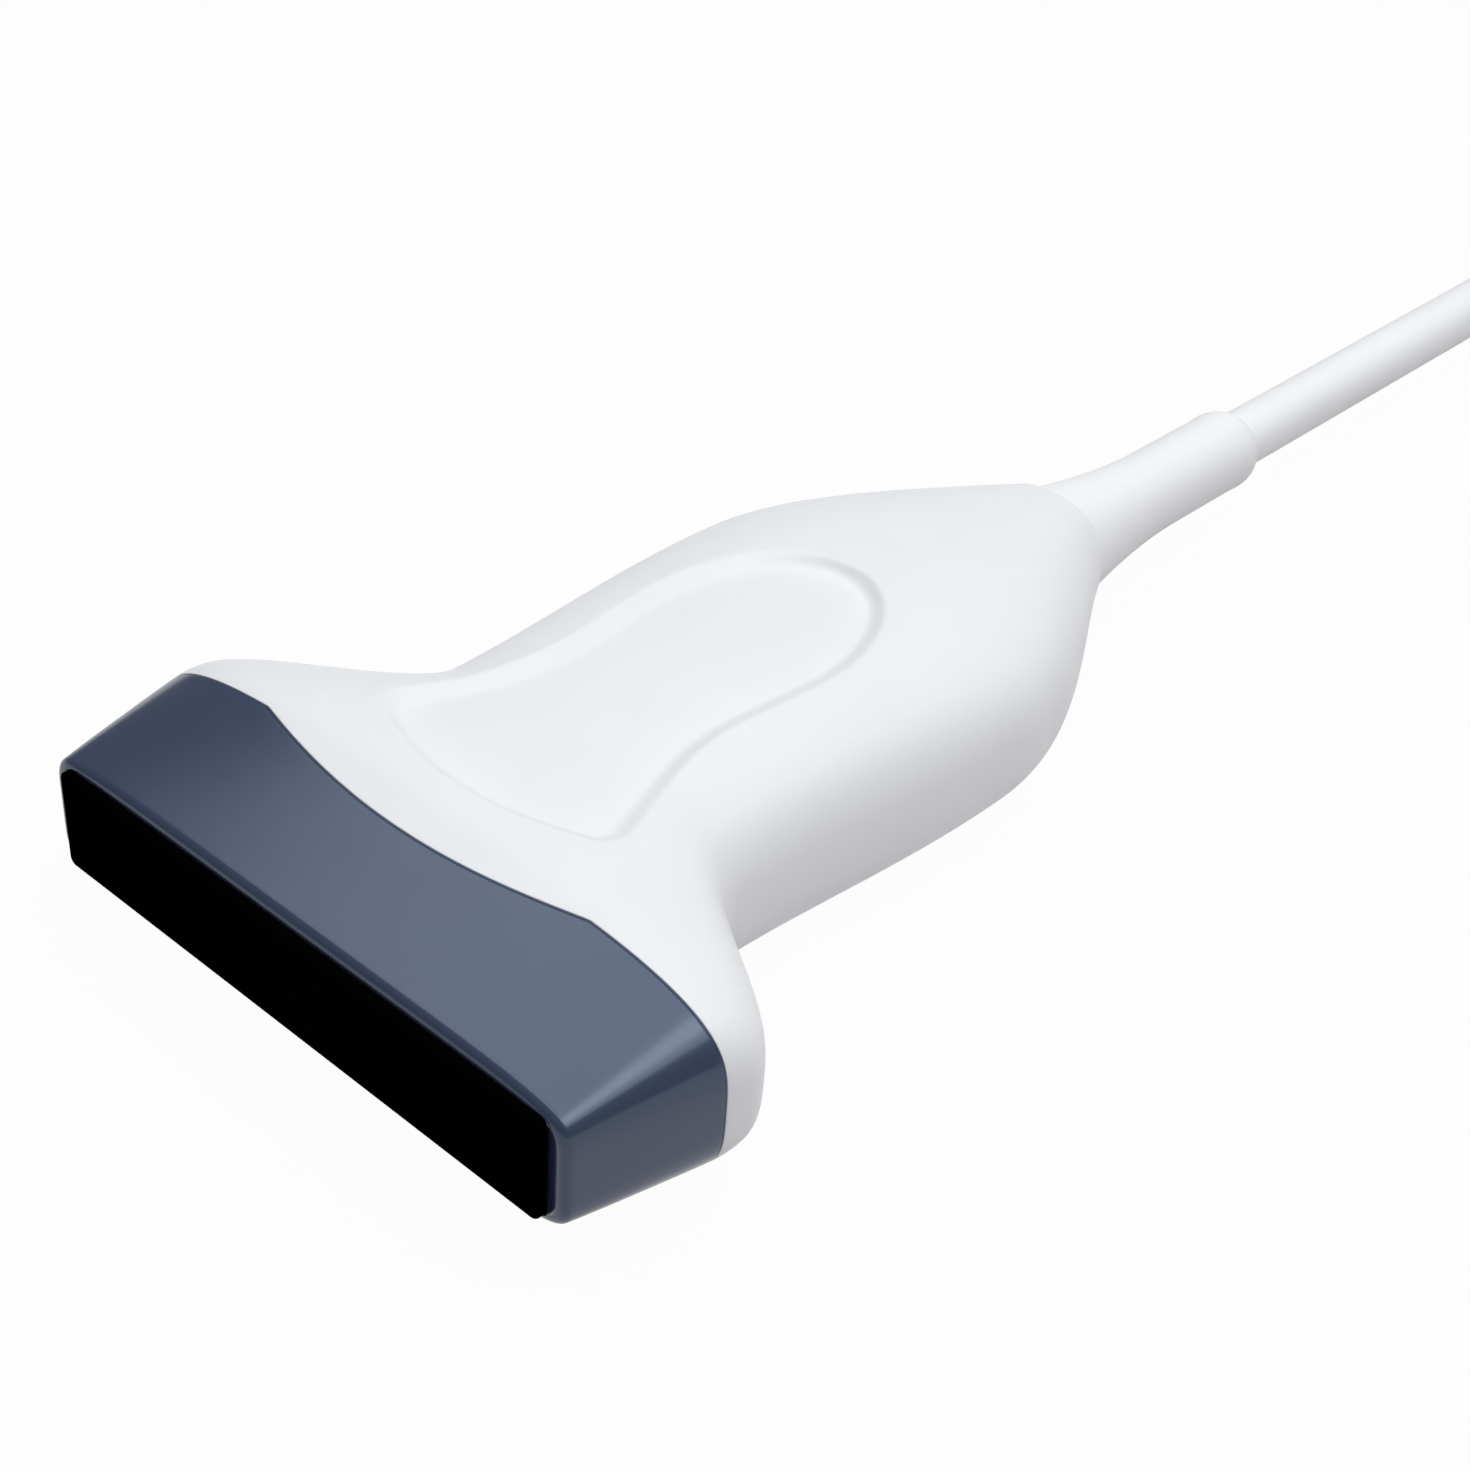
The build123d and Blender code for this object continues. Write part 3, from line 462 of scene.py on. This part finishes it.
def material(name):
    """New node material and its shader."""
    made = bpy.data.materials.new(name)
    made.use_nodes = True
    return made, made.node_tree, made.node_tree.nodes["Principled BSDF"]


def add_noise(tree, scale, detail):
    """Noise in the object's own metres."""
    coordinates = tree.nodes.new("ShaderNodeTexCoord")
    noise = tree.nodes.new("ShaderNodeTexNoise")
    noise.inputs["Scale"].default_value = scale
    noise.inputs["Detail"].default_value = detail
    tree.links.new(coordinates.outputs["Object"], noise.inputs["Vector"])
    return noise.outputs["Fac"]


def add_ramp(tree, factor, low, high):
    """Colour that goes from low to high over a factor."""
    ramp = tree.nodes.new("ShaderNodeValToRGB")
    ramp.color_ramp.elements[0].position = NOISE_LOW
    ramp.color_ramp.elements[1].position = NOISE_HIGH
    ramp.color_ramp.elements[0].color = (*low, 1)
    ramp.color_ramp.elements[1].color = (*high, 1)
    tree.links.new(factor, ramp.inputs["Fac"])
    return ramp.outputs["Color"]


def add_range(tree, factor, low, high):
    """Number that goes from low to high over a factor."""
    spread = tree.nodes.new("ShaderNodeMapRange")
    spread.inputs["From Min"].default_value = NOISE_LOW
    spread.inputs["From Max"].default_value = NOISE_HIGH
    spread.inputs["To Min"].default_value = low
    spread.inputs["To Max"].default_value = high
    tree.links.new(factor, spread.inputs["Value"])
    return spread.outputs["Result"]


def add_bump(tree, shader, height, strength, distance):
    """Fine relief of a surface."""
    bump = tree.nodes.new("ShaderNodeBump")
    bump.inputs["Strength"].default_value = strength
    bump.inputs["Distance"].default_value = distance
    tree.links.new(height, bump.inputs["Height"])
    tree.links.new(bump.outputs["Normal"], shader.inputs["Normal"])


def moulded(name, colours, roughness, grain, specular, sheen=(1, 1, 1, 1)):
    """Moulded plastic or elastomer: slightly cloudy colour, uneven roughness and a fine grain."""
    made, tree, shader = material(name)
    cloud = add_noise(tree, CLOUD_SCALE, 3)
    tree.links.new(add_ramp(tree, cloud, *colours), shader.inputs["Base Color"])
    wear = add_noise(tree, ROUGHNESS_SCALE, 4)
    tree.links.new(add_range(tree, wear, *roughness), shader.inputs["Roughness"])
    grain_scale, grain_strength = grain
    add_bump(tree, shader, add_noise(tree, grain_scale, 2), grain_strength, GRAIN_HEIGHT)
    shader.inputs["Specular IOR Level"].default_value = specular
    shader.inputs["Specular Tint"].default_value = sheen
    return made


def metal(name, colours, roughness):
    """Plated or rolled metal with faint stains and uneven roughness."""
    made, tree, shader = material(name)
    stain = add_noise(tree, STAIN_SCALE, 3)
    tree.links.new(add_ramp(tree, stain, *colours), shader.inputs["Base Color"])
    streak = add_noise(tree, STREAK_SCALE, 3)
    tree.links.new(add_range(tree, streak, *roughness), shader.inputs["Roughness"])
    shader.inputs["Metallic"].default_value = 1.0
    return made


def woven(name, low, high):
    """Woven strap: crossing ribs with a soft sheen."""
    made, tree, shader = material(name)
    coordinates = tree.nodes.new("ShaderNodeTexCoord")
    waves = []
    for direction in ("X", "Z"):
        wave = tree.nodes.new("ShaderNodeTexWave")
        wave.bands_direction = direction
        wave.inputs["Scale"].default_value = RIB_SCALE
        wave.inputs["Distortion"].default_value = 0.4
        tree.links.new(coordinates.outputs["Object"], wave.inputs["Vector"])
        waves.append(wave.outputs["Fac"])
    weave = tree.nodes.new("ShaderNodeMath")
    weave.operation = "MAXIMUM"
    tree.links.new(waves[0], weave.inputs[0])
    tree.links.new(waves[1], weave.inputs[1])
    tree.links.new(add_ramp(tree, weave.outputs["Value"], low, high), shader.inputs["Base Color"])
    add_bump(tree, shader, weave.outputs["Value"], 0.6, RIB_HEIGHT)
    shader.inputs["Roughness"].default_value = 0.85
    shader.inputs["Sheen Weight"].default_value = 0.4
    return made


def make_materials():
    """One material for each slot of the record."""
    return {
        "lens_silicone": moulded(
            "lens",
            colours=((0.0006, 0.0006, 0.0008), (0.001, 0.001, 0.0012)),
            roughness=(0.5, 0.6),
            grain=(5200, 0.05),
            specular=0.0,
        ),
        "nose_plastic": moulded(
            "nose",
            colours=((0.0385, 0.053, 0.097), (0.0395, 0.054, 0.099)),
            roughness=(0.2, 0.22),
            grain=(4200, 0.01),
            specular=0.6,
            sheen=NOSE_SHEEN,
        ),
        "seal_rubber": moulded(
            "seal",
            colours=((0.042, 0.057, 0.102), (0.044, 0.059, 0.105)),
            roughness=(0.27, 0.31),
            grain=(3000, 0.02),
            specular=0.6,
            sheen=NOSE_SHEEN,
        ),
        "handle_plastic": moulded(
            "handle",
            colours=((0.835, 0.84, 0.85), (0.855, 0.86, 0.87)),
            roughness=(0.4, 0.5),
            grain=(4200, 0.16),
            specular=0.4,
        ),
        "relief_elastomer": moulded(
            "relief",
            colours=((0.885, 0.885, 0.885), (0.905, 0.905, 0.905)),
            roughness=(0.5, 0.62),
            grain=(3000, 0.22),
            specular=0.35,
        ),
        "cable_jacket": moulded(
            "jacket",
            colours=((0.89, 0.89, 0.89), (0.91, 0.91, 0.91)),
            roughness=(0.45, 0.58),
            grain=(2200, 0.2),
            specular=0.4,
        ),
        "matching_resin": moulded(
            "matching",
            colours=((0.26, 0.24, 0.2), (0.33, 0.31, 0.27)),
            roughness=(0.4, 0.5),
            grain=(2500, 0.15),
            specular=0.4,
        ),
        "piezo_ceramic": moulded(
            "piezo",
            colours=((0.58, 0.52, 0.38), (0.66, 0.6, 0.46)),
            roughness=(0.35, 0.5),
            grain=(2500, 0.15),
            specular=0.4,
        ),
        "backing_rubber": moulded(
            "backing",
            colours=((0.04, 0.04, 0.045), (0.06, 0.06, 0.065)),
            roughness=(0.6, 0.8),
            grain=(1800, 0.3),
            specular=0.3,
        ),
        "carrier_plastic": moulded(
            "carrier",
            colours=((0.038, 0.04, 0.043), (0.05, 0.052, 0.055)),
            roughness=(0.42, 0.55),
            grain=(3600, 0.2),
            specular=0.45,
        ),
        "flex_film": moulded(
            "flex",
            colours=((0.5, 0.22, 0.05), (0.6, 0.28, 0.07)),
            roughness=(0.25, 0.35),
            grain=(2500, 0.1),
            specular=0.5,
        ),
        "board_laminate": moulded(
            "board",
            colours=((0.025, 0.14, 0.07), (0.035, 0.18, 0.09)),
            roughness=(0.25, 0.4),
            grain=(1500, 0.2),
            specular=0.5,
        ),
        "core_sleeving": moulded(
            "cores",
            colours=((0.36, 0.37, 0.42), (0.54, 0.55, 0.58)),
            roughness=(0.45, 0.6),
            grain=(1400, 0.5),
            specular=0.4,
        ),
        "connector_plastic": moulded(
            "case",
            colours=((0.67, 0.68, 0.69), (0.72, 0.73, 0.74)),
            roughness=(0.42, 0.52),
            grain=(3600, 0.22),
            specular=0.4,
        ),
        "shield_metal": metal("shield", ((0.66, 0.4, 0.26), (0.76, 0.5, 0.34)), (0.3, 0.5)),
        "steel": metal("steel", ((0.52, 0.52, 0.53), (0.62, 0.62, 0.63)), (0.25, 0.45)),
        "contact_metal": metal("contacts", ((0.8, 0.6, 0.27), (0.9, 0.72, 0.38)), (0.18, 0.3)),
        "strap_fabric": woven("strap", (0.08, 0.085, 0.1), (0.2, 0.21, 0.23)),
    }


def dress(piece, made):
    piece.data.materials.clear()
    piece.data.materials.append(made)


def add_piece(piece, slot, made, *replaced):
    """Puts a new piece in the frame in place of its CAD nodes."""
    dress(piece, made)
    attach(piece, "root")
    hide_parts(*replaced)


def make_floor():
    """Plain pale floor that keeps the shadow and looks white to the camera."""
    half = FLOOR_HALF
    mesh = bpy.data.meshes.new("floor")
    corners = [(-half, -half, 0), (half, -half, 0), (half, half, 0), (-half, half, 0)]
    mesh.from_pydata(corners, [], [(0, 1, 2, 3)])
    floor = bpy.data.objects.new("floor", mesh)
    bpy.context.scene.collection.objects.link(floor)
    made, tree, shader = material("floor")
    shader.inputs["Base Color"].default_value = FLOOR_COLOUR
    shader.inputs["Roughness"].default_value = 0.8
    shader.inputs["Specular IOR Level"].default_value = 0.1
    glow = tree.nodes.new("ShaderNodeEmission")
    mix = tree.nodes.new("ShaderNodeMixShader")
    rays = tree.nodes.new("ShaderNodeLightPath")
    direct = tree.nodes.new("ShaderNodeMath")
    direct.operation = "ADD"
    tree.links.new(rays.outputs["Is Camera Ray"], direct.inputs[0])
    tree.links.new(rays.outputs["Is Glossy Ray"], direct.inputs[1])
    through = tree.nodes.new("ShaderNodeMath")
    through.operation = "ADD"
    through.use_clamp = True
    tree.links.new(direct.outputs["Value"], through.inputs[0])
    tree.links.new(rays.outputs["Is Transmission Ray"], through.inputs[1])
    seen = tree.nodes.new("ShaderNodeMath")
    seen.operation = "MULTIPLY"
    seen.inputs[1].default_value = FLOOR_SEEN_SHARE
    tree.links.new(through.outputs["Value"], seen.inputs[0])
    tree.links.new(seen.outputs["Value"], mix.inputs["Fac"])
    tree.links.new(shader.outputs["BSDF"], mix.inputs[1])
    tree.links.new(glow.outputs["Emission"], mix.inputs[2])
    tree.links.new(mix.outputs["Shader"], tree.nodes["Material Output"].inputs["Surface"])
    dress(floor, made)


def make_world():
    """Even, weak light from all round."""
    world = bpy.data.worlds.new("studio")
    bpy.context.scene.world = world
    world.use_nodes = True
    background = world.node_tree.nodes["Background"]
    background.inputs["Color"].default_value = WORLD_COLOUR
    background.inputs["Strength"].default_value = WORLD_STRENGTH


def add_lamp(name, place, size, power):
    """Soft rectangular lamp that looks at the middle of the probe, with its first size along X."""
    data = bpy.data.lights.new(name, "AREA")
    data.shape = "RECTANGLE"
    data.size, data.size_y = size
    data.energy = power
    data.color = LAMP_COLOUR
    lamp = bpy.data.objects.new(name, data)
    back = (Vector(place) - Vector((0, 0, AXIS_Z * METRE))).normalized()
    side = (Vector((1, 0, 0)) - back.x * back).normalized()
    turn = Matrix((side, back.cross(side), back)).transposed().to_4x4()
    lamp.matrix_world = Matrix.Translation(place) @ turn
    bpy.context.scene.collection.objects.link(lamp)


def make_camera():
    """Camera at the viewing angle of the photograph."""
    azimuth = math.radians(CAMERA_AZIMUTH)
    elevation = math.radians(CAMERA_ELEVATION)
    roll = math.radians(CAMERA_ROLL)
    level = math.cos(elevation)
    back = Vector((math.sin(azimuth) * level, -math.cos(azimuth) * level, math.sin(elevation)))
    level_right = Vector((math.cos(azimuth), math.sin(azimuth), 0))
    level_up = back.cross(level_right)
    right = math.cos(roll) * level_right + math.sin(roll) * level_up
    up = math.cos(roll) * level_up - math.sin(roll) * level_right
    data = bpy.data.cameras.new("camera")
    data.sensor_fit = "HORIZONTAL"
    data.sensor_width = SENSOR_WIDTH
    data.lens = FOCAL_LENGTH
    camera = bpy.data.objects.new("camera", data)
    turn = Matrix((right, up, back)).transposed().to_4x4()
    x, distance, height = CAMERA_PLACE
    place = Vector((x, distance + LENS_Y, height + AXIS_Z)) * METRE
    camera.matrix_world = Matrix.Translation(place) @ turn
    bpy.context.scene.collection.objects.link(camera)
    bpy.context.scene.camera = camera


materials = make_materials()
slots = {entry["node"]: entry["material_slot"] for entry in frame["record"]["subparts"]}
for node, piece in nodes.items():
    dress(piece, materials[slots[node]])

section_angles = even_angles(RECESS_BACK)
add_piece(make_handle(section_angles), "handle_plastic", materials["handle_plastic"], "handle_shell")
add_piece(make_nose(section_angles), "nose_plastic", materials["nose_plastic"], "nose_housing")
add_piece(make_seal(section_angles), "seal_rubber", materials["seal_rubber"], "seam_seal")
add_piece(make_relief(), "relief_elastomer", materials["relief_elastomer"], "strain_relief")

cord = make_cable()
add_piece(cord, "cable_jacket", materials["cable_jacket"], "cable", "cable_coil", "cable_tail")

make_floor()
make_world()
add_lamp("overhead", OVERHEAD_PLACE, OVERHEAD_SIZE, OVERHEAD_POWER)
add_lamp("ridge", RIDGE_PLACE, RIDGE_SIZE, RIDGE_POWER)
make_camera()
bpy.context.scene.view_settings.view_transform = "Standard"
